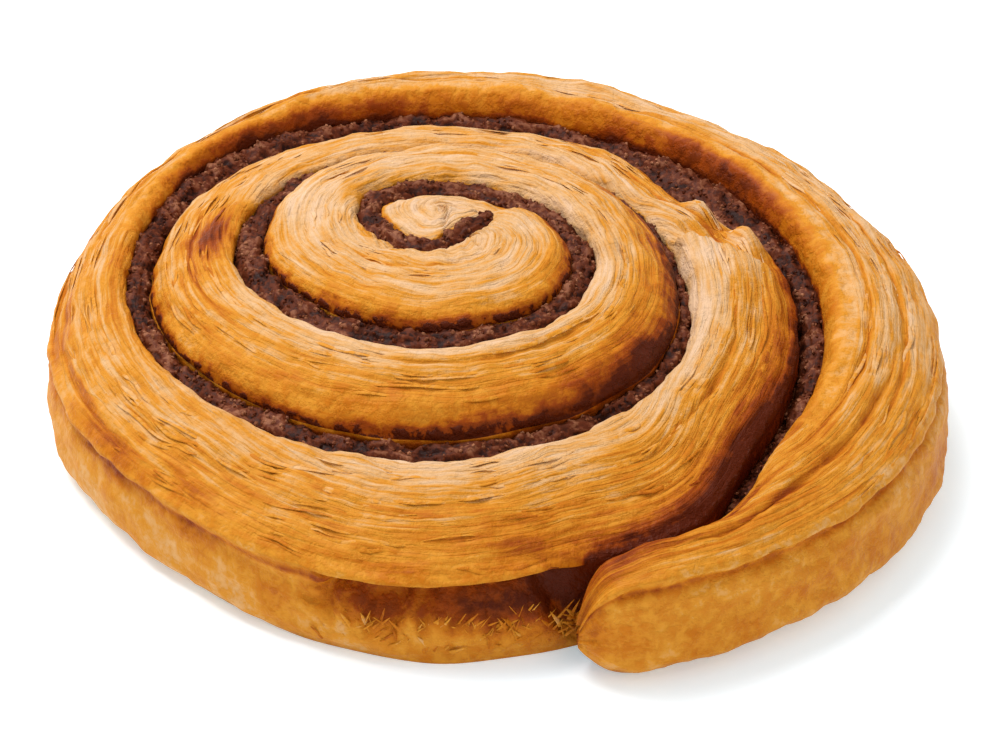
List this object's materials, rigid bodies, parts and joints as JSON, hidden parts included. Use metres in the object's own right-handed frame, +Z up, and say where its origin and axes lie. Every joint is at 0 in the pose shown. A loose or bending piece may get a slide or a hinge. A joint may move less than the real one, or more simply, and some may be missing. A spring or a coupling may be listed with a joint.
{
  "type": "danish pastry",
  "caption": "round cinnamon danish: one strip of laminated dough rolled into a low domed coil, with dark filling in the seam and the strip's rounded end lying against the side",
  "frame": {"origin": "the middle of the bounding box, on the underside", "axes": "+Z is up out of the pastry's top, -Y is the side nearest the camera in the picture, where the strip's end lies, and +X is to its right"},
  "size_m": [0.1152, 0.1192, 0.0292],
  "materials": {
    "dough": "baked laminated dough, golden to brown, satin on its crust",
    "filling": "dark baked cinnamon sugar, grainy and sticky"
  },
  "bodies": {
    "root": {"dough": "dough", "filling": "filling"}
  },
  "joints": []
}
